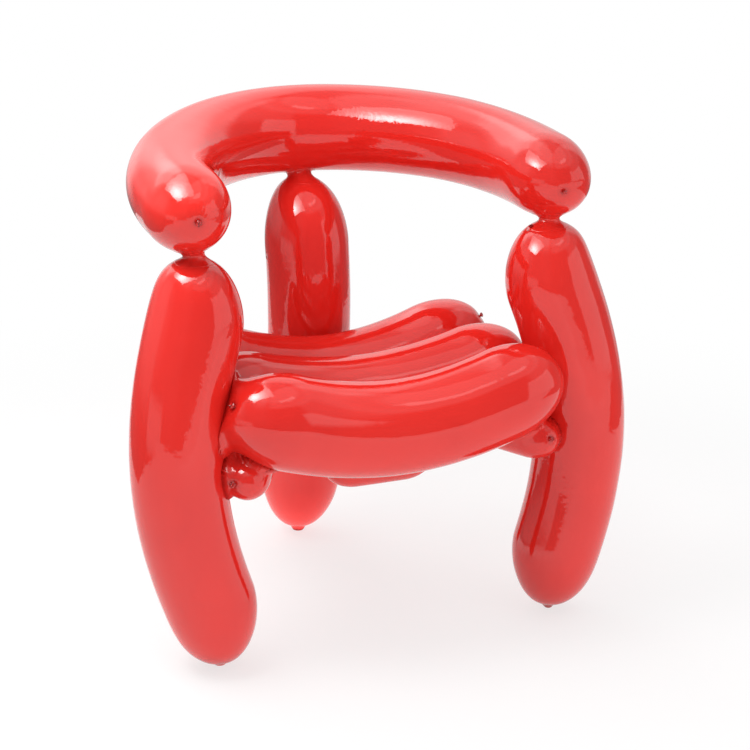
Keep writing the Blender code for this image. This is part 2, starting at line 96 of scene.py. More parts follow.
def unit(vectors):
    """Each vector divided by its own length."""
    return vectors / np.linalg.norm(vectors, axis=-1, keepdims=True)


def ways_round(heading, hint, angles):
    """Unit vectors across a heading, one for each angle, the first one also across the hint."""
    side = unit(np.cross(heading, hint))
    return np.cos(angles)[:, None] * side + np.sin(angles)[:, None] * np.cross(heading, side)


def softened(values, first, last, passes):
    """Rows from first to last, each replaced again and again by the mean of itself and its two
    neighbours, which rounds a corner."""
    values = values.copy()
    for _ in range(passes):
        near, far = values[first - 1 : last - 1], values[first + 1 : last + 1]
        values[first:last] = (near + 2 * values[first:last] + far) / 4
    return values


class Form:
    """A long round inflated form, as a function of the distance along its axis and an angle.

    Point: centre + girth * (cos(angle) * side + sin(angle) * top). The centre is the axis, moved
    near each end by the end's skew times the square of the share still to go inside the cap. The
    side is the across direction times the heading, and the top is the heading times the side. The
    heading turns towards facing by that same square. The girth is the body's radius, and inside a
    cap tip + (radius - tip) * sin(turn) ** (2 * swell), where 1 - cos(turn) is the share gone.
    """

    def __init__(self, axis, radius, caps, tips, across, nubs=(0, 0), bases=(0, 0),
                 skews=(NOWHERE, NOWHERE), facing=None, swells=(0.5, 0.5)):
        shares = np.linspace(0, 1, AXIS_SAMPLES)
        self.points = axis(shares)
        steps = np.linalg.norm(np.diff(self.points, axis=0), axis=1)
        self.run = np.concatenate(([0], np.cumsum(steps)))
        self.length = self.run[-1]
        self.headings = unit(np.gradient(self.points, self.run, axis=0))
        self.radii = radius(shares)
        self.caps, self.tips, self.across, self.nubs, self.bases = caps, tips, across, nubs, bases
        self.skews, self.facing, self.swells = skews, facing, swells
        self.moved = self.frame(self.run)[0]
        self.moved_headings = unit(np.gradient(self.moved, axis=0))

    def along(self, values, distance):
        """Sampled rows of values, read at distances from the start."""
        return np.stack([np.interp(distance, self.run, column) for column in values.T], axis=-1)

    def girth(self, distance):
        """The radius at distances from the start."""
        full = np.interp(distance, self.run, self.radii)
        for end, reach in enumerate((distance, self.length - distance)):
            share = np.clip((reach - self.nubs[end]) / (self.caps[end] - self.nubs[end]), 0, 1)
            dome = (2 * share - share**2) ** self.swells[end]
            full = np.minimum(full, self.tips[end] + (full - self.tips[end]) * dome)
        return full

    def frame(self, distance):
        """Centre, heading, side and top at distances from the start."""
        centre = self.along(self.points, distance)
        heading = self.along(self.headings, distance)
        for end, reach in enumerate((distance, self.length - distance)):
            pull = (np.clip(1 - reach / self.caps[end], 0, None) ** 2)[..., None]
            centre = centre + pull * self.skews[end]
            if self.facing is not None:
                heading = (1 - pull) * unit(heading) + pull * self.facing
        heading = unit(heading)
        side = unit(np.cross(self.across, heading))
        return centre, heading, side, np.cross(heading, side)

    def cap_rows(self, end):
        """Distances from an end and girths of its rows, from the pole inwards. A dome without a nub
        closes to a point. A nub has a flat, a rounded edge and a slanted wall that runs into the
        dome."""
        tip, nub, cap, base = self.tips[end], self.nubs[end], self.caps[end], self.bases[end]
        turn = np.linspace(0, math.pi / 2, CAP_ROWS + 1)[1:]
        distance = nub + (cap - nub) * (1 - np.cos(turn))
        full = np.interp(distance if end == 0 else self.length - distance, self.run, self.radii)
        closing = 1 if nub else np.sin(np.minimum(turn * POLE_CLOSING, math.pi / 2))
        girth = closing * tip + (full - closing * tip) * np.sin(turn) ** (2 * self.swells[end])
        if nub:
            edge = np.linspace(0, math.pi / 2, NUB_EDGE_ROWS)
            flat = np.array(NUB_FLAT_SHARES) * (base - NUB_EDGE)
            climb = np.linspace(0, 1, NUB_WALL_ROWS + 1)[1:]
            wall, wall_height = base + (tip - base) * climb, NUB_EDGE + (nub - NUB_EDGE) * climb
            girth = np.concatenate((flat, base - NUB_EDGE * (1 - np.sin(edge)), wall, girth))
            distance = np.concatenate(
                (0 * flat, NUB_EDGE * (1 - np.cos(edge)), wall_height, distance))
            girth = softened(girth, *NUB_SOFT_ROWS, NUB_SOFT_PASSES)
            distance = softened(distance, *NUB_SOFT_ROWS, NUB_SOFT_PASSES)
        return distance, girth

    def rows(self):
        """Distances from the start and girths of all rows, from pole to pole."""
        first, first_girth = self.cap_rows(0)
        last, last_girth = self.cap_rows(1)
        span = self.length - first[-1] - last[-1]
        middle = first[-1] + np.linspace(0, span, max(round(span / ROW_STEP), 2) + 1)[1:-1]
        distance = np.concatenate((first, middle, self.length - last[::-1]))
        return distance, np.concatenate((first_girth, self.girth(middle), last_girth[::-1]))

    def surface(self, distance, girth, angles):
        """Centres (row, 1, 3) and points (row, column, 3) of the body's surface."""
        centre, _, side, top = (part[:, None] for part in self.frame(distance))
        around = np.cos(angles)[:, None] * side + np.sin(angles)[:, None] * top
        return centre, centre + girth[:, None, None] * around

    def seat(self, distance, angle):
        """A point of the surface, and the outward normal: the step round times the step onward."""
        step = self.length / AXIS_SAMPLES
        distances = np.array((distance, distance + step))
        angles = np.array((angle, angle + step / self.girth(distance)))
        (spot, beside), (onward, _) = self.surface(distances, self.girth(distances), angles)[1]
        return spot, unit(np.cross(beside - spot, onward - spot))

    def clearance(self, points):
        """How far points lie outside this body: their distance from the axis less the girth."""
        flat = points.reshape(-1, 3)
        near = np.empty(len(flat), int)
        for part in np.array_split(np.arange(len(flat)), max(len(flat) // BATCH_POINTS, 1)):
            apart = flat[part, None] - self.moved[::COARSE_SAMPLES]
            near[part] = COARSE_SAMPLES * np.einsum("ijk,ijk->ij", apart, apart).argmin(axis=1)
        offset = flat - self.moved[near]
        onward = np.einsum("ij,ij->i", offset, self.moved_headings[near])
        run = np.clip(self.run[near] + onward, 0, self.length)
        onward = run - self.run[near]
        across = np.linalg.norm(offset - onward[:, None] * self.moved_headings[near], axis=1)
        return (across - self.girth(run)).reshape(points.shape[:-1])


def blended(near, far, width):
    """Smooth minimum of two clearances: the lesser, less a parabola where they are alike."""
    return np.minimum(near, far) - np.clip(width - np.abs(near - far), 0, None) ** 2 / (4 * width)


def bonded(centre, points, neighbours):
    """Points moved along the lines from their centres to where this body's clearance, blended
    with each neighbour's over the width of their resin fillet, turns positive, or to just below
    the neighbour's skin, whichever comes first. A width may be a function of the points."""
    offset = points - centre
    radius = np.linalg.norm(offset, axis=-1)
    way = offset / radius[..., None]
    centres = np.broadcast_to(centre, points.shape)
    fillets = [
        np.broadcast_to(width(points) if callable(width) else width, radius.shape)
        for _, width in neighbours
    ]
    near = np.zeros(radius.shape, bool)
    for (other, _), fillet in zip(neighbours, fillets):
        near |= other.clearance(points) < fillet
    if not near.any():
        return points
    start, heading, own = centres[near], way[near], radius[near]
    fillets = [fillet[near] for fillet in fillets]
    widest = max(fillet.max() for fillet in fillets)
    low, high = 0 * own, own + widest
    for _ in range(BOND_HALVINGS):
        middle = (low + high) / 2
        spot = start + middle[:, None] * heading
        proud = middle - own
        joint = proud
        stopped = proud > widest
        for (other, _), fillet in zip(neighbours, fillets):
            gap = other.clearance(spot)
            joint = blended(joint, gap, fillet)
            stopped = stopped | (gap < -BOND_SINK) | ((proud > fillet) & (gap < 0))
        outside = (joint > 0) | stopped
        high = np.where(outside, middle, high)
        low = np.where(outside, low, middle)
    radius[near] = low
    return centres + radius[..., None] * way


def grid_normals(points):
    """Outward normals of a grid whose columns go round: the step round times the step onward."""
    around = np.roll(points, -1, axis=1) - np.roll(points, 1, axis=1)
    return unit(np.cross(around, np.gradient(points, axis=0)))


def waviness(points, seed):
    """Hand-made unevenness: plane sine waves in seeded directions, each as high as its slope
    times its length, taken down so that none stands proud."""
    draw = np.random.default_rng(seed)
    lengths = np.geomspace(*WAVE_LENGTHS, WAVE_COUNT)
    heads = unit(draw.normal(size=(len(lengths), 3)))
    phases = draw.uniform(0, 2 * math.pi, len(lengths))
    heights = WAVE_SLOPE * lengths / (2 * math.pi) / math.sqrt(len(lengths))
    waves = np.sin(2 * math.pi * (points @ heads.T) / lengths + phases) * heights
    return waves.sum(axis=-1) - heights.sum()


def skin(name, grid, values):
    """A closed mesh over a grid whose rows run from a first pole to a last one and whose columns
    go round. Each pole is the mean of the row beside it. The values are kept as attributes."""
    rows, columns = grid.shape[:2]
    index = np.arange(rows * columns).reshape(rows, columns)
    onward = np.roll(index, -1, axis=1)
    quads = np.stack((index[:-1], onward[:-1], onward[1:], index[1:]), axis=-1)
    first = np.stack((0 * index[0] + rows * columns, onward[0], index[0]), axis=-1)
    last = np.stack((0 * index[0] + rows * columns + 1, index[-1], onward[-1]), axis=-1)
    corners = np.concatenate((quads.ravel(), first.ravel(), last.ravel()))
    sizes = np.concatenate((np.full((rows - 1) * columns, 4), np.full(2 * columns, 3)))
    mesh = bpy.data.meshes.new(name)
    mesh.vertices.add(rows * columns + 2)
    mesh.vertices.foreach_set("co", with_poles(grid).ravel())
    mesh.loops.add(len(corners))
    mesh.loops.foreach_set("vertex_index", corners.astype(np.int32))
    mesh.polygons.add(len(sizes))
    mesh.polygons.foreach_set("loop_start", (np.cumsum(sizes) - sizes).astype(np.int32))
    mesh.update(calc_edges=True)
    mesh.shade_smooth()
    for title, field in values.items():
        kind, entry = ("FLOAT", "value") if field.shape[-1] == 1 else ("FLOAT_VECTOR", "vector")
        mesh.attributes.new(title, kind, "POINT").data.foreach_set(entry, with_poles(field).ravel())
    return placed(name, mesh)


def placed(name, data):
    """A new object of the scene."""
    made = bpy.data.objects.new(name, data)
    bpy.context.collection.objects.link(made)
    return made


def with_poles(grid):
    """The grid's rows one after the other, then the means of its first and last rows."""
    means = grid[(0, -1), :].mean(axis=1)
    return np.concatenate((grid.reshape(-1, grid.shape[-1]), means)).astype(np.float32)


DIMPLE_DEPTH = 0.0016
DIMPLE_RADIUS = 0.0075
PLEAT_COUNT = 13
PLEAT_DRIFT = 1.6
PLEAT_DEPTH = 0.00016
PLEAT_REACH = 0.0085


def drawn_in(points, normals, spot, out):
    """A surface drawn in round a tied mouth: sunk along the mouth's axis by a bell curve of the
    distance from it, with faint pleats that rise to a reach and die away. Also the bell curve."""
    offset = points - spot
    apart = np.linalg.norm(offset, axis=-1)
    bell = np.exp(-((apart / DIMPLE_RADIUS) ** 2))
    side = unit(np.cross(out, NEARLY_UP))
    angle = np.arctan2(offset @ np.cross(out, side), offset @ side)
    share = apart / PLEAT_REACH
    folds = (0.5 + 0.5 * np.cos(PLEAT_COUNT * angle + PLEAT_DRIFT * np.sin(3 * angle))) ** 2
    pleats = PLEAT_DEPTH * folds * share * np.exp(1 - share)
    return points - (DIMPLE_DEPTH * bell)[..., None] * out - pleats[..., None] * normals, bell


def shell(name, body, neighbours, seed, mouths=(), columns=COLUMNS):
    """A glossy shell over a form: bonded to its neighbours, uneven, and drawn in round its mouths.
    It carries the flow (girth * cos(angle), girth * sin(angle), distance) for its ripples."""
    distance, girth = body.rows()
    angles = np.linspace(0, 2 * math.pi, columns, endpoint=False)
    centre, points = body.surface(distance, girth - SKIN_DEPTH, angles)
    points = bonded(centre, points, neighbours)
    normals = grid_normals(points)
    keep = np.ones(len(distance))
    for end, reach in enumerate((distance, body.length - distance)):
        if body.nubs[end]:
            keep *= np.clip(reach / (SMOOTH_NUBS * body.nubs[end]) - SMOOTH_SHARE, 0, 1)
    points = points + (keep[:, None] * waviness(points, seed))[..., None] * normals
    # Where each mouth draws the surface in, kept as 'drawn' for the gelcoat, which paints shade
    # there.
    drawn = np.zeros(points.shape[:2])
    for spot, out in mouths:
        points, bell = drawn_in(points, normals, spot, out)
        drawn = np.maximum(drawn, bell)
    wheel = np.stack((np.cos(angles), np.sin(angles), 0 * angles), axis=-1)
    flow = girth[:, None, None] * wheel + distance[:, None, None] * UP
    return skin(name, points, {"drawn": drawn[..., None], "flow": flow})


RED = (0.72, 0.0215, 0.015, 1)
DEEP_RED = (0.67, 0.0180, 0.013, 1)
# The colour of the painted shade in the dimple round a tied mouth.
MOUTH_SHADE_RED = (0.40, 0.014, 0.013, 1)
# Of each leg's foot: the colour that it takes below a height above the floor, and that height.
FOOT_BANDS = {
    "left": ((0.80, 0.050, 0.040, 1), 0.0080),
    "right": ((0.56, 0.040, 0.032, 1), 0.0100),
    "rear": ((0.80, 0.020, 0.016, 1), 0.0125),
}
NUB_ROUGHNESS = 0.35
BAND_GRAIN = 220.0
BAND_RAGGEDNESS = 0.4
BAND_EDGE = (0.85, 1.1)
GELCOAT_INDEX = 1.62
PEEL_UNIT = 0.001
# Noise of the gelcoat: its scale, the range of the noise over which it tells, and what it gives.
CLOUDS = (7.0, (0.35, 0.70))
HAZE = (23.0, (0.45, 0.80), (0.035, 0.075))
PATCHES = (11.0, (0.48, 0.70), (0.70, 2.0))
RIPPLE_SCALES = (130.0, 310.0)
FINE_RIPPLE = 0.16
# How the painted shade round a mouth falls off: a power of the dimple's bell.
MOUTH_SHADE_FALL = 1.5


def joined(tree, kind, inputs, settings=()):
    """A new node of a kind, with numbers set and sockets linked by the names of its inputs."""
    node = tree.nodes.new(kind)
    for name, entry in settings:
        setattr(node, name, entry)
    for name, entry in inputs.items():
        if isinstance(entry, bpy.types.NodeSocket):
            tree.links.new(entry, node.inputs[name])
        else:
            node.inputs[name].default_value = entry
    return node


def sums(tree, operation, first, second=0.0, third=0.0):
    """The output of a Math node over numbers or sockets."""
    inputs = {0: first, 1: second, 2: third}
    return joined(tree, "ShaderNodeMath", inputs, (("operation", operation),)).outputs[0]


def ramp(tree, entry, low, high, start=0.0, finish=1.0):
    """A value that runs smoothly from start at low to finish at high."""
    inputs = {"Value": entry, "From Min": low, "From Max": high, "To Min": start, "To Max": finish}
    node = joined(tree, "ShaderNodeMapRange", inputs, (("interpolation_type", "SMOOTHSTEP"),))
    return node.outputs["Result"]


def noise(tree, place, scale, detail=1.0):
    """A Noise Texture's value, about one half."""
    inputs = {"Vector": place, "Scale": scale, "Detail": detail, "Roughness": 0.5}
    return joined(tree, "ShaderNodeTexNoise", inputs).outputs["Fac"]


def tinted(tree, share, first, second):
    """A colour between two others."""
    inputs = {"Factor": share, "A": first, "B": second}
    node = tree.nodes.new("ShaderNodeMix")
    node.data_type = "RGBA"
    for socket in (*node.inputs, *node.outputs):
        if socket.enabled and socket.name in inputs:
            entry = inputs[socket.name]
            if isinstance(entry, bpy.types.NodeSocket):
                tree.links.new(entry, socket)
            else:
                socket.default_value = entry
    return next(socket for socket in node.outputs if socket.enabled)


def blank_material(name):
    """A new material, its node tree, its shader and the place in object coordinates."""
    made = bpy.data.materials.new(name)
    made.use_nodes = True
    tree = made.node_tree
    place = tree.nodes.new("ShaderNodeTexCoord").outputs["Object"]
    return made, tree, tree.nodes["Principled BSDF"], place


def gel_group():
    """Polished gelcoat: its colour, roughness and the height of its ripples, in millimetres.

    The colour deepens in broad clouds, and is painted darker round a tied mouth, as shade in the
    dimple there. Roughness rises a little in patches where the polish is thin. The ripples are
    noise that is stronger in some places."""
    tree = bpy.data.node_groups.new("polished_gel", "ShaderNodeTree")
    inputs = {"Place": "Vector", "Flow": "Vector", "Mouth Shade": "Float", "Ripple": "Float"}
    outputs = {"Colour": "Color", "Roughness": "Float", "Height": "Float"}
    for way, sockets in (("INPUT", inputs), ("OUTPUT", outputs)):
        for title, kind in sockets.items():
            tree.interface.new_socket(title, in_out=way, socket_type=f"NodeSocket{kind}")
    given = tree.nodes.new("NodeGroupInput").outputs
    result = tree.nodes.new("NodeGroupOutput")
    clouds = ramp(tree, noise(tree, given["Place"], CLOUDS[0], 3.0), *CLOUDS[1])
    colour = tinted(tree, clouds, RED, DEEP_RED)
    # Painted shade: the dimple round a tied mouth is darkened, most at its middle.
    mouth = sums(tree, "POWER", given["Mouth Shade"], MOUTH_SHADE_FALL)
    colour = tinted(tree, mouth, colour, MOUTH_SHADE_RED)
    haze = ramp(tree, noise(tree, given["Place"], HAZE[0], 4.0), *HAZE[1], *HAZE[2])
    broad = noise(tree, given["Flow"], RIPPLE_SCALES[0])
    fine = noise(tree, given["Flow"], RIPPLE_SCALES[1], 2.0)
    height = sums(tree, "MULTIPLY_ADD", fine, FINE_RIPPLE, broad)
    rough = ramp(tree, noise(tree, given["Place"], PATCHES[0], 2.0), *PATCHES[1], *PATCHES[2])
    height = sums(tree, "MULTIPLY", height, sums(tree, "MULTIPLY", given["Ripple"], rough))
    for title, entry in zip(outputs, (colour, haze, height)):
        tree.links.new(entry, result.inputs[title])
    return tree


polished_gel = gel_group()


def coat(tree, shader, colour, roughness, height):
    """Give a shader the colour, roughness, ripples and index of a coat of resin."""
    tree.links.new(colour, shader.inputs["Base Color"])
    tree.links.new(roughness, shader.inputs["Roughness"])
    bump = joined(tree, "ShaderNodeBump", {"Height": height, "Distance": PEEL_UNIT})
    tree.links.new(bump.outputs["Normal"], shader.inputs["Normal"])
    shader.inputs["IOR"].default_value = GELCOAT_INDEX


def gelcoat(name, ripple, foot_band=None):
    """Red gelcoat of one kind of piece. Given a foot band, up to the band's ragged height above the
    floor it takes the band's colour and is duller."""
    made, tree, shader, place = blank_material(name)
    # The 'drawn' attribute marks the dimple round each mouth, where shade is painted.
    flow, drawn = (
        joined(tree, "ShaderNodeAttribute", {}, (("attribute_name", title),)).outputs[socket]
        for title, socket in (("flow", "Vector"), ("drawn", "Fac"))
    )
    inputs = {"Place": place, "Flow": flow, "Mouth Shade": drawn, "Ripple": ripple}
    gel = joined(tree, "ShaderNodeGroup", inputs, (("node_tree", polished_gel),))
    colour, roughness = gel.outputs["Colour"], gel.outputs["Roughness"]
    # A band at the foot: up to a ragged height the colour changes to one set for each leg, and the
    # surface is duller.
    if foot_band:
        band_colour, top = foot_band
        level = joined(tree, "ShaderNodeSeparateXYZ", {"Vector": place}).outputs["Z"]
        grain = noise(tree, place, BAND_GRAIN, 2.0)
        ragged = sums(tree, "MULTIPLY_ADD", grain, -BAND_RAGGEDNESS * top,
                      (1 + BAND_RAGGEDNESS / 2) * top)
        share = sums(tree, "DIVIDE", level, ragged)
        colour = tinted(tree, ramp(tree, share, *BAND_EDGE), band_colour, colour)
        dull = ramp(tree, share, *BAND_EDGE, NUB_ROUGHNESS, 0.0)
        roughness = sums(tree, "MAXIMUM", roughness, dull)
    coat(tree, shader, colour, roughness, gel.outputs["Height"])
    return made


def finished(piece, material, node):
    """Give a piece its material, and let it ride with the chair in place of its node."""
    piece.data.materials.append(material)
    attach(piece, "root")
    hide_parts(node)


def leg_form(name, side):
    """A front leg: x bows out and y leans back and bows forward by a sine, as z rises evenly."""

    def axis(share):
        bow = np.sin(math.pi * share)
        x = side * (LEG_STANCE + LEG_TOP_SPREAD * share + LEG_BOW * bow)
        y = FRONT_FEET_Y + LEG_LEAN * share - LEG_FORWARD_BOW * bow
        return np.stack((x, y, LEG_HEIGHT * share), axis=1)

    def radius(share):
        return LEG_RADII[0] + (LEG_RADII[1] - LEG_RADII[0]) * share

    foot = np.array((side * LEG_FOOT_OFFSET, 0, 0))
    top = np.array((side * LEG_TOP_OFFSET, -LEG_TOP_FORWARD, 0))
    return Form(axis, radius, LEG_CAPS, LEG_TIPS, BACK, LEG_NUBS[name], LEG_NUB_BASES[name],
                (foot, top), UP, LEG_SWELLS)


def mouth_seat(body, end, down_share, turn_share):
    """The place of a tied mouth on an end of a body: how far down the dome and how far round."""
    reach = down_share * body.caps[end]
    return body.seat(body.length - reach if end else reach, math.tau * turn_share)


LEG_RIPPLE = 0.14
# Of a tied mouth: which end it is on, and how far down the dome and how far round, as shares.
RIGHT_LEG_MOUTH = (1, 0.064, 0.483)
left_leg, right_leg = (leg_form(name, side) for name, side in SIDES.items())
leg_gelcoats = {
    name: gelcoat(f"{name}_leg_gelcoat", LEG_RIPPLE, foot_band) for name, foot_band in FOOT_BANDS.items()
}
right_leg_mouth = mouth_seat(right_leg, *RIGHT_LEG_MOUTH)
left_shell = shell("left_leg_shell", left_leg, (), seed=1)
finished(left_shell, leg_gelcoats["left"], "left_leg")
right_shell = shell("right_leg_shell", right_leg, (), seed=2, mouths=(right_leg_mouth,))
finished(right_shell, leg_gelcoats["right"], "right_leg")

# Rear leg. The same kind of shell, a little slimmer and taller, laid up over a form of its own. It
# bows forward until it meets the back of the seat, and stands on a longer nub.
REAR_LEG_HEIGHT = 0.588
REAR_LEG_RADII = (0.0615, 0.0645)
REAR_LEG_X = 0.012
REAR_LEG_Y = 0.22199
REAR_LEG_LEAN = 0.028
REAR_LEG_BOW = 0.042
REAR_BOW_SHARE = 1.5
REAR_LEG_NUBS = (0.0110, 0.003)
REAR_LEG_NUB_BASES = (0.0095, 0.011)
REAR_LEG_TIPS = (0.0145, 0.011)


def rear_leg_axis(share):
    """y leans forward and bows by a sine that is fullest above the middle, as z rises evenly."""
    bow = np.sin(math.pi * share**REAR_BOW_SHARE)
    y = REAR_LEG_Y - REAR_LEG_LEAN * share - REAR_LEG_BOW * bow
    return np.stack((REAR_LEG_X + 0 * share, y, REAR_LEG_HEIGHT * share), axis=1)


def rear_leg_radius(share):
    """An even taper."""
    return REAR_LEG_RADII[0] + (REAR_LEG_RADII[1] - REAR_LEG_RADII[0]) * share


rear_leg = Form(rear_leg_axis, rear_leg_radius, LEG_CAPS, REAR_LEG_TIPS, BACK, REAR_LEG_NUBS,
                REAR_LEG_NUB_BASES, facing=UP, swells=LEG_SWELLS)
finished(shell("rear_leg_shell", rear_leg, (), seed=3), leg_gelcoats["rear"], "rear_leg")

# Seat. Three long shells lie side by side across the chair, low in the middle and raised at both
# ends. Thickened resin bonds the front one to the front legs, the rear one to the rear leg, and
# the middle one to the other two.
SEAT_RADIUS = 0.0667
SEAT_CAPS = (0.090, 0.090)
SEAT_TIPS = (0.006, 0.006)
SADDLE_SHARE = 1.94
# Depth, height and half length of each axis, and how far its ends rise above its middle.
SEAT_FRONT = (-0.22119, 0.326, 0.24063, 0.062)
SEAT_MIDDLE = (-0.09085, 0.322, 0.250, 0.053)
SEAT_REAR = (0.03927, 0.3135, 0.242, 0.069)
SEAT_FRONT_MOUTH = (0, 0.002, 0.450)
SEAT_REAR_MOUTH = (1, 0.029, 0.417)
SEAT_RIPPLE = 0.09
SEAT_FILLET = 0.011
LEG_FILLETS = {"left": 0.038, "right": 0.012, "rear": 0.012}


def seat_form(y, height, half_length, rise):
    """A seat body: x runs evenly and z rises by a power of the share of the way to an end."""

    def axis(share):
        out = 2 * share - 1
        z = height + rise * np.abs(out) ** SADDLE_SHARE
        return np.stack((out * half_length, y + 0 * out, z), axis=1)

    return Form(axis, lambda share: SEAT_RADIUS + 0 * share, SEAT_CAPS, SEAT_TIPS, UP)


seat_gelcoat = gelcoat("seat_gelcoat", SEAT_RIPPLE)
seat_front, seat_middle, seat_rear = (
    seat_form(*sizes) for sizes in (SEAT_FRONT, SEAT_MIDDLE, SEAT_REAR)
)
seat_front_mouth = mouth_seat(seat_front, *SEAT_FRONT_MOUTH)
seat_rear_mouth = mouth_seat(seat_rear, *SEAT_REAR_MOUTH)
front_bonds = ((left_leg, LEG_FILLETS["left"]), (right_leg, LEG_FILLETS["right"]))
rear_bonds = ((rear_leg, LEG_FILLETS["rear"]),)
middle_bonds = ((seat_front, SEAT_FILLET), (seat_rear, SEAT_FILLET))
for node, body, bonds, mouths, seed in (
    ("seat_front", seat_front, front_bonds, (seat_front_mouth,), 4),
    ("seat_rear", seat_rear, rear_bonds, (seat_rear_mouth,), 5),
    ("seat_middle", seat_middle, middle_bonds, (), 6),
):
    finished(shell(f"{node}_shell", body, bonds, seed, mouths), seat_gelcoat, node)

# Supports. Short slim shells bonded into the groove under the front and middle seat bodies: one
# in its middle, and one against each front leg, where more resin is packed round the end.
SUPPORT_RADIUS = 0.0315
SUPPORT_HALF_LENGTH = 0.066
SUPPORT_TURN = math.radians(27)
SUPPORT_CAPS = (0.044, 0.044)
SUPPORT_TIPS = (0.004, 0.004)
SUPPORT_Z = 0.279
SUPPORT_INSET = 0.1005
SUPPORT_LEAD = 0.007
CENTRE_HALF_LENGTH = 0.080
CENTRE_X = -0.003
LEFT_SUPPORT_MOUTH = (0, 0.077, 0.033)
RIGHT_SUPPORT_MOUTH = (0, 0.032, 0.125)
SUPPORT_COLUMNS = 120
SUPPORT_RIPPLE = 0.07
SUPPORT_FILLET = 0.017
# The resin that packs a support to its leg, at its underside and from a little above its axis.
PACKED_FILLETS = {"left_support": (0.010, 0.029), "right_support": (0.010, 0.014)}
PACKED_RISE = 0.008


def straight_form(start, finish):
    """A short body along the straight line between two points."""
    return Form(
        lambda share: start + share[:, None] * (finish - start),
        lambda share: SUPPORT_RADIUS + 0 * share,
        SUPPORT_CAPS, SUPPORT_TIPS, UP,
    )


def side_support(leg, side):
    """A support beside a front leg, turned so that it runs back and towards the middle."""
    level = np.interp(SUPPORT_Z, leg.points[:, 2], leg.run)
    by_leg = leg.frame(np.array((level,)))[0][0]
    middle = by_leg - np.array((side * SUPPORT_INSET, SUPPORT_LEAD, 0))
    heading = np.array((-side * math.sin(SUPPORT_TURN), math.cos(SUPPORT_TURN), 0))
    half = SUPPORT_HALF_LENGTH * heading
    return straight_form(middle - half, middle + half)


def packed(widths):
    """A fillet's width at points, which grows evenly with their height."""
    heights = (SUPPORT_Z - SUPPORT_RADIUS, SUPPORT_Z + PACKED_RISE)
    return lambda points: np.interp(points[..., 2], heights, widths)


support_gelcoat = gelcoat("support_gelcoat", SUPPORT_RIPPLE)
low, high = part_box("centre_support")
centre = np.array((CENTRE_X, (low.y + high.y) / 2, low.z + SUPPORT_RADIUS))
reach = np.array((CENTRE_HALF_LENGTH, 0, 0))
centre_support = straight_form(centre - reach, centre + reach)
left_support, right_support = side_support(left_leg, -1), side_support(right_leg, 1)
left_support_mouth = mouth_seat(left_support, *LEFT_SUPPORT_MOUTH)
right_support_mouth = mouth_seat(right_support, *RIGHT_SUPPORT_MOUTH)
groove = ((seat_front, SUPPORT_FILLET), (seat_middle, SUPPORT_FILLET))
for node, body, leg, mouths, seed in (
    ("left_support", left_support, left_leg, (left_support_mouth,), 7),
    ("right_support", right_support, right_leg, (right_support_mouth,), 8),
    ("centre_support", centre_support, None, (), 9),
):
    bonds = (*groove, (leg, packed(PACKED_FILLETS[node]))) if leg else groove
    piece = shell(f"{node}_shell", body, bonds, seed, mouths, SUPPORT_COLUMNS)
    finished(piece, support_gelcoat, node)

# Arm rail. One long shell bent to a horseshoe, thicker at the back and rising towards it. It
# rests on the three legs and is bolted to them through their necks.
RAIL_RADII = (0.0592, 0.0654)
RAIL_HALF_WIDTH = 0.2655
RAIL_DEPTHS = (-0.1974, 0.2225)
RAIL_HEIGHTS = (0.638, 0.654)
RAIL_END_DROP = 0.0105
RAIL_CAPS = (0.080, 0.080)
RAIL_TIPS = (0.006, 0.006)
RAIL_RIGHT_MOUTH = (0, 0.028, 0.008)
RAIL_LEFT_MOUTH = (1, 0.003, 0.150)
RAIL_RIPPLE = 0.16
# Knots of the right half from its end to the back, as shares of half width, depth and rise.
RAIL_KNOT_SHARES = (
    (1.04, 0, 0), (0.9975, 0.174, 0), (0.9915, 0.2713, 0.14), (0.8139, 0.6394, 0.77), (0, 1, 1),
)


def natural_spline(shares, knots):
    """A curve through the knots in cubic pieces, with an even bend that is nil at the ends."""
    steps = np.diff(shares)
    system = np.eye(len(shares))
    bends = np.zeros_like(knots)
    for i in range(1, len(shares) - 1):
        system[i, i - 1 : i + 2] = steps[i - 1], 2 * (steps[i - 1] + steps[i]), steps[i]
        before = (knots[i] - knots[i - 1]) / steps[i - 1]
        bends[i] = 6 * ((knots[i + 1] - knots[i]) / steps[i] - before)
    bends = np.linalg.solve(system, bends)

    def curve(share):
        i = np.clip(np.searchsorted(shares, share, side="right") - 1, 0, len(shares) - 2)
        near = ((shares[i + 1] - share) / steps[i])[:, None]
        far = 1 - near
        curl = (near**3 - near) * bends[i] + (far**3 - far) * bends[i + 1]
        return near * knots[i] + far * knots[i + 1] + curl * (steps[i] ** 2)[:, None] / 6

    return curve


def rail_form():
    """The arm rail, from its right end round the back to its left end."""
    low = np.array((0, RAIL_DEPTHS[0], RAIL_HEIGHTS[0]))
    high = np.array((RAIL_HALF_WIDTH, RAIL_DEPTHS[1], RAIL_HEIGHTS[1]))
    half = low + np.array(RAIL_KNOT_SHARES) * (high - low)
    knots = np.concatenate((half, half[-2::-1] * (-1, 1, 1)))
    knots[(0, -1), 2] -= RAIL_END_DROP
    spans = np.linalg.norm(np.diff(knots[:, :2], axis=0), axis=1)
    curve = natural_spline(np.concatenate(([0], np.cumsum(spans))) / spans.sum(), knots)

    def radius(share):
        depth = curve(share)[:, 1] - RAIL_DEPTHS[0]
        deep = np.clip(depth / (RAIL_DEPTHS[1] - RAIL_DEPTHS[0]), 0, 1)
        return RAIL_RADII[0] + (RAIL_RADII[1] - RAIL_RADII[0]) * deep

    return Form(curve, radius, RAIL_CAPS, RAIL_TIPS, UP)


arm_rail = rail_form()
rail_right_mouth = mouth_seat(arm_rail, *RAIL_RIGHT_MOUTH)
rail_left_mouth = mouth_seat(arm_rail, *RAIL_LEFT_MOUTH)
rail_shell = shell("arm_rail_shell", arm_rail, (), 10, (rail_right_mouth, rail_left_mouth))
finished(rail_shell, gelcoat("rail_gelcoat", RAIL_RIPPLE), "arm_rail")

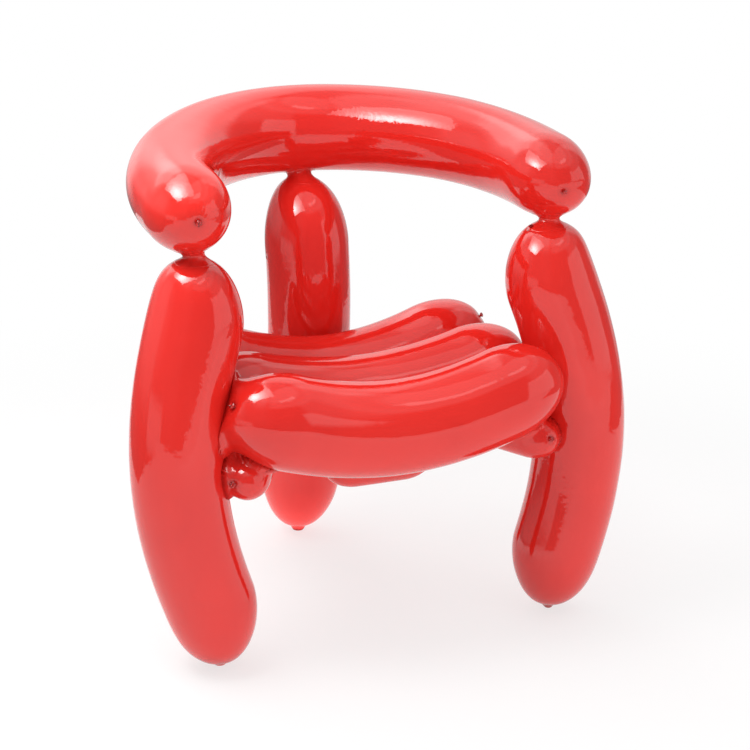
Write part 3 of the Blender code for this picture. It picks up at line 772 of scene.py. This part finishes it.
# Necks. Resin is packed and smoothed by hand round the bolt between each leg's top and the rail,
# and pinched to a narrow waist with a feathered edge on both.
# Of each: the radius of its waist, and of its ring on the rail, and how far back that ring lies.
NECKS = {
    "left": (0.0148, 0.0235, 0),
    "right": (0.0148, 0.0235, 0),
    "rear": (0.0185, 0.0220, 0.012),
}
COLLAR_SPREAD = 0.0270
COLLAR_SCALLOP = 0.0016
COLLAR_SINK = 0.0010
COLLAR_FEATHER = 0.0060
COLLAR_COLUMNS = 120
COLLAR_ROWS = 40
# A cubic curve's middle goes this share of the way to the inner points that pull on it.
PULL_SHARE = 0.75
SLOPE_STEP = 0.0005
DOME_DEPTH = 0.030
RING_SAMPLES = 240
RING_HALVINGS = 24
NECK_RIPPLE = 0.10


def ring_on_dome(leg, spread, angles):
    """Points of a leg's dome, one for each angle, at which its girth reaches the spread there."""
    reach = np.linspace(leg.nubs[1], DOME_DEPTH, RING_SAMPLES)
    girth = leg.girth(leg.length - reach)
    points = leg.surface(leg.length - reach, girth, angles)[1]
    return points[np.searchsorted(girth, spread), np.arange(len(angles))]


def ring_under_rail(spots, above, below):
    """Points of the rail's underside on upright lines through the spots, found by halving."""
    low, high = np.full(len(spots), below), np.full(len(spots), above)
    for _ in range(RING_HALVINGS):
        middle = (low + high) / 2
        within = arm_rail.clearance(np.column_stack((spots, middle))) < 0
        high = np.where(within, middle, high)
        low = np.where(within, low, middle)
    return np.column_stack((spots, high))


def collar(name, leg, waist, rail_spread, back, seed):
    """A neck between a leg and the rail. Row by row it follows a cubic Bezier curve from a ring on
    the leg to a ring on the rail, tangent to both, whose middle lies at the waist. The feathered
    edges go on a little way and sink below the shells."""
    top = leg.frame(np.array((leg.length,)))[0][0]
    axis_height = top[2] + arm_rail.clearance(top[None])[0] + RAIL_RADII[0]
    angles = np.linspace(0, 2 * math.pi, COLLAR_COLUMNS, endpoint=False)
    ways = np.stack((np.cos(angles), np.sin(angles)), axis=1)
    hub = top[:2] + (0, back)
    rings = []
    for on_leg, middle in ((True, COLLAR_SPREAD), (False, rail_spread)):
        spread = middle + COLLAR_SCALLOP * np.sin(3 * angles + seed + 2 * on_leg)
        near, far, edge = (
            ring_on_dome(leg, reach, angles) if on_leg
            else ring_under_rail(hub + ways * reach[:, None], axis_height, top[2] - DOME_DEPTH)
            for reach in (spread - 2 * SLOPE_STEP, spread, spread + COLLAR_FEATHER)
        )
        inward = unit(near - far)
        pull = (spread - waist) / PULL_SHARE / np.linalg.norm(inward[:, :2], axis=1)
        away = UP * (-1 if on_leg else 1)
        rings.append((edge + COLLAR_SINK * away, far, far + pull[:, None] * inward))
    (leg_edge, start, start_pull), (rail_edge, end, end_pull) = rings
    share = np.linspace(0, 1, COLLAR_ROWS)[:, None, None]
    curve = ((1 - share) ** 3 * start + 3 * share * (1 - share) ** 2 * start_pull
             + 3 * share**2 * (1 - share) * end_pull + share**3 * end)
    points = np.concatenate((leg_edge[None], curve, rail_edge[None]))
    drawn = np.zeros((*points.shape[:2], 1))
    return skin(name, points, {"drawn": drawn, "flow": points})


neck_resin = gelcoat("neck_resin", NECK_RIPPLE)
legs = {"left": left_leg, "right": right_leg, "rear": rear_leg}
for seed, (name, leg) in enumerate(legs.items()):
    finished(collar(f"{name}_neck", leg, *NECKS[name], seed), neck_resin, f"{name}_collar")

# Tied mouths. Each form was inflated through a rolled rubber mouth, which was laid up with the
# shell and shows as a small dark bead of resin on a short stem.
BEAD_RADIUS = 0.0044
BEAD_ROLL = 0.0017
BEAD_HEIGHT = 0.0034
BEAD_STEM = 0.0022
BEAD_FOOT = 0.0046
BEAD_FOOT_SINK = 0.0012
BEAD_FOOT_RISE = 0.0026
# The roll's first and last angles, in degrees, and the rows of the foot and of the roll.
BEAD_TURN = (-70, 150)
BEAD_ROWS = (8, 22)
BEAD_COLUMNS = 48
BEAD_LOBES = (2, 3, 5)
BEAD_TILT = 0.30
BEAD_WOBBLE = 0.08
BEAD_DARK = (0.20, 0.012, 0.011, 1)
BEAD_LIGHT = (0.62, 0.018, 0.015, 1)
# Noise again: the scale and range of the folds, their polish, and a fine grain.
BEAD_FOLDS = (420.0, (0.35, 0.65))
BEAD_POLISH = (0.12, 0.05)
BEAD_GRAIN = 700.0
BEAD_GRAIN_HEIGHT = 0.12


def bead(name, spot, out, size, seed):
    """A rolled mouth turned about its axis: a foot flared into the shell, a thin stem, a ring and
    a dimple. The ring is uneven, and the whole leans over with its height."""
    draw = np.random.default_rng(seed)
    angles = np.linspace(0, 2 * math.pi, BEAD_COLUMNS, endpoint=False)
    flare = np.linspace(0, math.pi / 2, BEAD_ROWS[0])
    foot = BEAD_FOOT - (BEAD_FOOT - BEAD_STEM) * np.sin(flare)
    foot_height = -DIMPLE_DEPTH - BEAD_FOOT_SINK + BEAD_FOOT_RISE * (1 - np.cos(flare))
    roll = np.radians(np.linspace(*BEAD_TURN, BEAD_ROWS[1]))
    ring = BEAD_RADIUS - BEAD_ROLL + BEAD_ROLL * np.cos(roll)
    ring_height = BEAD_HEIGHT - DIMPLE_DEPTH / 2 + BEAD_ROLL * np.sin(roll)
    radius = size * np.concatenate((foot, ring, (ring[-1] / 2,)))[:, None]
    ring_height = size * ring_height
    height = np.concatenate((foot_height, ring_height, ring_height[-1:]))[:, None]
    lobes = sum(np.sin(n * angles + draw.uniform(0, 2 * math.pi)) / n for n in BEAD_LOBES)
    risen = np.clip(height / BEAD_HEIGHT, 0, None)
    radius = radius * (1 + BEAD_WOBBLE * lobes * risen)
    lean = draw.uniform(0, 2 * math.pi)
    height = height + BEAD_TILT * risen * radius * np.cos(angles - lean)
    wheel = ways_round(out, NEARLY_UP, angles)
    points = spot + radius[..., None] * wheel + height[..., None] * out
    return skin(name, points, {"drawn": np.ones((*points.shape[:2], 1)), "flow": points})


def mouth_resin():
    """Dark red resin, glossy, nearly black in the folds of the ring."""
    made, tree, shader, place = blank_material("mouth_resin")
    folds = ramp(tree, noise(tree, place, BEAD_FOLDS[0], 2.0), *BEAD_FOLDS[1])
    colour = tinted(tree, folds, BEAD_DARK, BEAD_LIGHT)
    height = sums(tree, "MULTIPLY", noise(tree, place, BEAD_GRAIN, 2.0), BEAD_GRAIN_HEIGHT)
    coat(tree, shader, colour, ramp(tree, folds, 0.0, 1.0, *BEAD_POLISH), height)
    return made


bead_resin = mouth_resin()
# Each with its seat and how big it is.
for seed, (name, mouth, size) in enumerate((
    ("rail_right", rail_right_mouth, 0.70),
    ("rail_left", rail_left_mouth, 0.95),
    ("seat_front", seat_front_mouth, 0.95),
    ("seat_rear", seat_rear_mouth, 0.80),
    ("left_support", left_support_mouth, 1.0),
    ("right_support", right_support_mouth, 0.85),
    ("right_leg", right_leg_mouth, 0.85),
)):
    finished(bead(f"{name}_bead", *mouth, size, seed), bead_resin, f"{name}_lip")

# Fixings. Zinc plated steel, hidden in the shells: a threaded stud runs up through each neck, and
# grooved dowels, glued in with resin, pin the bodies of the seat and the supports.
THREAD_PITCH = 0.00125
THREAD_DEPTH = 0.0007
ROD_CHAMFER = 0.0012
ROD_COLUMNS = 24
THREAD_ROWS = 6
DOWEL_GROOVES = 12
GROOVE_DEPTH = 0.0003
SKEW_WAY = (0.6, 0.5, 0.3)
ZINC_COOL = (0.55, 0.56, 0.58, 1)
ZINC_WARM = (0.70, 0.69, 0.64, 1)
ZINC_CLOUDS = 60.0
# Noise again: its scale and range, and the roughness that it gives.
ZINC_SCRATCHES = (900.0, (0.3, 0.7), (0.25, 0.45))


def threaded_stud(distance, angles, radius):
    """The radius less a triangle wave that winds once round the rod for each pitch."""
    phase = (distance[:, None] / THREAD_PITCH - angles / (2 * math.pi)) % 1
    return radius - THREAD_DEPTH * (1 - np.abs(2 * phase - 1))


def grooved_dowel(distance, angles, radius):
    """The radius less a shallow cosine groove for each of the grooves round it."""
    wave = 0.5 - 0.5 * np.cos(DOWEL_GROOVES * angles)
    return radius - GROOVE_DEPTH * wave + 0 * distance[:, None]


def fixing(node, form, row_step):
    """A rod in the place of a node, along the direction in which the node's points spread most."""
    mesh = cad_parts[node].data
    points = np.empty(3 * len(mesh.vertices))
    mesh.vertices.foreach_get("co", points)
    points = points.reshape(-1, 3)
    centre = (points.min(axis=0) + points.max(axis=0)) / 2
    heading = np.linalg.svd(points - points.mean(axis=0), full_matrices=False)[2][0]
    run = (points - centre) @ heading
    start, length = centre + run.min() * heading, np.ptp(run)
    radius = np.linalg.norm(points - centre - run[:, None] * heading, axis=1).max()
    distance = np.linspace(0, length, round(length / row_step) + 1)
    angles = np.linspace(0, 2 * math.pi, ROD_COLUMNS, endpoint=False)
    end = np.minimum(distance, length - distance)[:, None]
    girth = form(distance, angles, radius) - np.clip(ROD_CHAMFER - end, 0, None)
    wheel = ways_round(heading, SKEW_WAY, angles)
    points = start + distance[:, None, None] * heading + girth[..., None] * wheel
    return skin(f"{node}_rod", points, {})


def plated_steel():
    """Zinc plate with a faint cloudy tint and fine scratches in its roughness."""
    made, tree, shader, place = blank_material("plated_steel")
    tint = tinted(tree, noise(tree, place, ZINC_CLOUDS, 3.0), ZINC_COOL, ZINC_WARM)
    scale, reach, polish = ZINC_SCRATCHES
    scratches = ramp(tree, noise(tree, place, scale, 2.0), *reach, *polish)
    tree.links.new(tint, shader.inputs["Base Color"])
    tree.links.new(scratches, shader.inputs["Roughness"])
    shader.inputs["Metallic"].default_value = 1.0
    return made


zinc = plated_steel()
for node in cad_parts:
    if node.endswith("_stud"):
        finished(fixing(node, threaded_stud, THREAD_PITCH / THREAD_ROWS), zinc, node)
    elif node.endswith("_dowel"):
        finished(fixing(node, grooved_dowel, ROD_CHAMFER), zinc, node)

# Floor: plain white paper, laid out in front of the chair and cut off a little way behind it and
# to its right. It is mostly white by itself, all of it further out, and it keeps a soft shadow.
FLOOR_CORNERS = (
    (-4.5, -3.8), (-0.6, -3.8), (-0.6, -5.0), (3.2, -5.0), (3.2, -1.3), (1.4, -1.1), (1.4, 1.8),
    (-0.5, 1.8), (-0.7, 0.9), (-1.0, 0.3), (-1.8, 0.0), (-3.2, -1.5), (-4.5, -1.6),
)
PAPER_WHITES = ((0.86, 0.86, 0.86, 1), (0.89, 0.89, 0.89, 1))
PAPER_GRAIN = 40.0
OWN_WHITE_SHARE = 0.70
MIRRORED_WHITE_SHARE = 0.8
SHADOW_REACH = 0.55
ALL_WHITE_REACH = 1.5


def white_paper():
    """Matt white. Seen directly or in a reflection, part of its light is its own white."""
    made, tree, shader, place = blank_material("white_paper")
    shader.inputs["Roughness"].default_value = 1.0
    shader.inputs["IOR"].default_value = 1.0
    white = tinted(tree, noise(tree, place, PAPER_GRAIN, 2.0), *PAPER_WHITES)
    tree.links.new(white, shader.inputs["Base Color"])
    rays = tree.nodes.new("ShaderNodeLightPath").outputs
    mirrored = sums(tree, "MAXIMUM", rays["Is Glossy Ray"], rays["Is Transmission Ray"])
    seen = sums(tree, "MULTIPLY_ADD", mirrored, MIRRORED_WHITE_SHARE, rays["Is Camera Ray"])
    apart = joined(tree, "ShaderNodeVectorMath", {0: place}, (("operation", "LENGTH"),))
    own = ramp(tree, apart.outputs["Value"], SHADOW_REACH, ALL_WHITE_REACH, OWN_WHITE_SHARE, 1.0)
    share = sums(tree, "MULTIPLY", seen, own)
    glow = joined(tree, "ShaderNodeEmission", {"Color": (1, 1, 1, 1), "Strength": 1.0})
    both = joined(tree, "ShaderNodeMixShader", {"Fac": share})
    tree.links.new(shader.outputs["BSDF"], both.inputs[1])
    tree.links.new(glow.outputs["Emission"], both.inputs[2])
    tree.links.new(both.outputs["Shader"], tree.nodes["Material Output"].inputs["Surface"])
    return made


floor_mesh = bpy.data.meshes.new("floor")
floor_mesh.from_pydata([(*corner, 0) for corner in FLOOR_CORNERS], [], [range(len(FLOOR_CORNERS))])
floor = placed("floor", floor_mesh)
floor_mesh.materials.append(white_paper())

# Studio: a softbox close by on the upper left, brightest near its middle and fading to its right
# edge, and two weak fills that no reflection shows, one in front and one on the floor behind, in a
# room of white backdrop, low ceiling, dim front and white cards. The camera sees plain white.
SOFTBOX_CENTRE = (-0.58, -0.07, 1.38)
SOFTBOX_SIZE = (0.78, 0.80)
# Where on its face it is brightest, as shares from its left and front edges, and how far the
# brightness spreads, in metres.
SOFTBOX_CORE_SHARES = (0.31, 0.38)
SOFTBOX_CORE_REACH = 0.28
SOFTBOX_CORE_GLOW = 14.5
SOFTBOX_EDGE_GLOW = 1.4
FILL_CENTRE = Vector((0.6, -2.4, 0.40))
FILL_SIZE = (2.8, 1.2)
FILL_GLOW = 2.5
FILL_AIM = Vector((0.1, 0.0, 0.35))
REAR_FILL_CENTRE = (0.10, 0.40, 0.004)
REAR_FILL_SIZE = (1.1, 0.7)
REAR_FILL_GLOW = 0.9
ROOM_GLOW = 0.22
# Each card: azimuth of its middle from the front towards the right, half width, lowest and
# highest elevation, glow and softness of its edges.
CARDS = {
    "backdrop": (152, 38, -12, 54, 0.62, 12),
    "backdrop_left": (-140, 44, -2, 66, 0.36, 12),
    "backdrop_top": (180, 45, 16, 60, 0.45, 16),
    "back_window": (-166, 22, 24, 50, 1.05, 8),
    "left_wall": (-104, 22, 8, 34, 0.22, 14),
    "left_low": (-76, 18, -8, 4, 0.60, 5),
    "left_front": (-55, 28, 0, 45, 0.08, 20),
    "softbox_spill": (-110, 76, 50, 91, 0.80, 26),
    "high_front": (50, 76, 47, 91, 0.45, 8),
    "ceiling": (0, 181, 61, 91, 0.32, 6),
    "ceiling_strip": (32, 28, 60, 66, 1.00, 2),
    "right_upper": (84, 46, 28, 50, 0.28, 16),
    "right_card": (55, 25, -6, 30, 0.88, 5),
}


def lamp(name, centre, size, glow):
    """A rectangular lamp that glows evenly and faces down, unseen by the camera."""
    data = bpy.data.lights.new(name, "AREA")
    data.shape = "RECTANGLE"
    data.size, data.size_y = size
    data.energy = size[0] * size[1] * math.pi * glow
    made = placed(name, data)
    made.location = centre
    made.visible_camera = False
    return made


def softbox():
    """A lamp whose glow falls by a bell curve of the distance from its core to its edge glow."""
    data = lamp("softbox", SOFTBOX_CENTRE, SOFTBOX_SIZE, 1.0).data
    data.use_nodes = True
    tree = data.node_tree
    spot = tree.nodes.new("ShaderNodeNewGeometry").outputs["Parametric"]
    face = joined(tree, "ShaderNodeSeparateXYZ", {"Vector": spot}).outputs
    squares = []
    for axis, core, size in zip("XY", SOFTBOX_CORE_SHARES, SOFTBOX_SIZE):
        across = size / SOFTBOX_CORE_REACH
        apart = sums(tree, "MULTIPLY_ADD", face[axis], across, -core * across)
        squares.append(sums(tree, "MULTIPLY", apart, apart))
    bell = sums(tree, "EXPONENT", sums(tree, "MULTIPLY", sums(tree, "ADD", *squares), -1.0))
    glow = sums(tree, "MULTIPLY_ADD", bell, SOFTBOX_CORE_GLOW, SOFTBOX_EDGE_GLOW)
    tree.links.new(glow, tree.nodes["Emission"].inputs["Strength"])


softbox()
fill = lamp("fill", FILL_CENTRE, FILL_SIZE, FILL_GLOW)
fill.rotation_mode = "QUATERNION"
fill.rotation_quaternion = (FILL_AIM - FILL_CENTRE).to_track_quat("-Z", "Y")
rear_fill = lamp("rear_fill", REAR_FILL_CENTRE, REAR_FILL_SIZE, REAR_FILL_GLOW)
rear_fill.rotation_euler = (math.pi, 0, 0)
fill.visible_glossy = rear_fill.visible_glossy = False
world = bpy.data.worlds.new("studio")
bpy.context.scene.world = world
world.use_nodes = True
room = world.node_tree
direction = room.nodes.new("ShaderNodeTexCoord").outputs["Generated"]
x, y, z = joined(room, "ShaderNodeSeparateXYZ", {"Vector": direction}).outputs
elevation = sums(room, "ARCSINE", z)
glow = ROOM_GLOW
for *degrees, strength, softness in CARDS.values():
    azimuth, half_width, low, high, edge = np.radians((*degrees, softness / 2))
    sine, cosine = math.sin(azimuth), math.cos(azimuth)
    across = sums(room, "MULTIPLY_ADD", y, sine, sums(room, "MULTIPLY", x, cosine))
    ahead = sums(room, "MULTIPLY_ADD", y, -cosine, sums(room, "MULTIPLY", x, sine))
    off = sums(room, "ABSOLUTE", sums(room, "ARCTAN2", across, ahead))
    beside = ramp(room, off, half_width - edge, half_width + edge, 1.0, 0.0)
    above = ramp(room, elevation, low - edge, low + edge)
    below = ramp(room, elevation, high - edge, high + edge, 1.0, 0.0)
    mask = sums(room, "MULTIPLY", sums(room, "MULTIPLY", beside, above), below)
    glow = sums(room, "MULTIPLY_ADD", mask, strength, glow)
seen = room.nodes.new("ShaderNodeLightPath").outputs["Is Camera Ray"]
background = room.nodes["Background"]
background.inputs["Color"].default_value = (1, 1, 1, 1)
room.links.new(sums(room, "MAXIMUM", glow, seen), background.inputs["Strength"])

# Camera: it looks at the chair from its front left and from above.
CAMERA_AZIMUTH = math.radians(21.607)
CAMERA_ELEVATION = math.radians(18.449)
CAMERA_DISTANCE = 3.1384
CAMERA_TARGET = Vector((0.0304, -0.0250, 0.3501))
CAMERA_LENS = 103.405
CAMERA_SENSOR = 36
PICTURE_WIDTH = 750
CAMERA_SHIFT = (9.58, -9.23)
camera_data = bpy.data.cameras.new("camera")
camera_data.sensor_width = CAMERA_SENSOR
camera_data.lens = CAMERA_LENS
camera_data.shift_x, camera_data.shift_y = (part / PICTURE_WIDTH for part in CAMERA_SHIFT)
camera = placed("camera", camera_data)
backward = Vector((
    -math.sin(CAMERA_AZIMUTH) * math.cos(CAMERA_ELEVATION),
    -math.cos(CAMERA_AZIMUTH) * math.cos(CAMERA_ELEVATION),
    math.sin(CAMERA_ELEVATION),
))
camera.location = CAMERA_TARGET + CAMERA_DISTANCE * backward
camera.rotation_mode = "QUATERNION"
camera.rotation_quaternion = (-backward).to_track_quat("-Z", "Y")
bpy.context.scene.camera = camera
bpy.context.scene.view_settings.view_transform = "Standard"

bpy.context.view_layer.update()
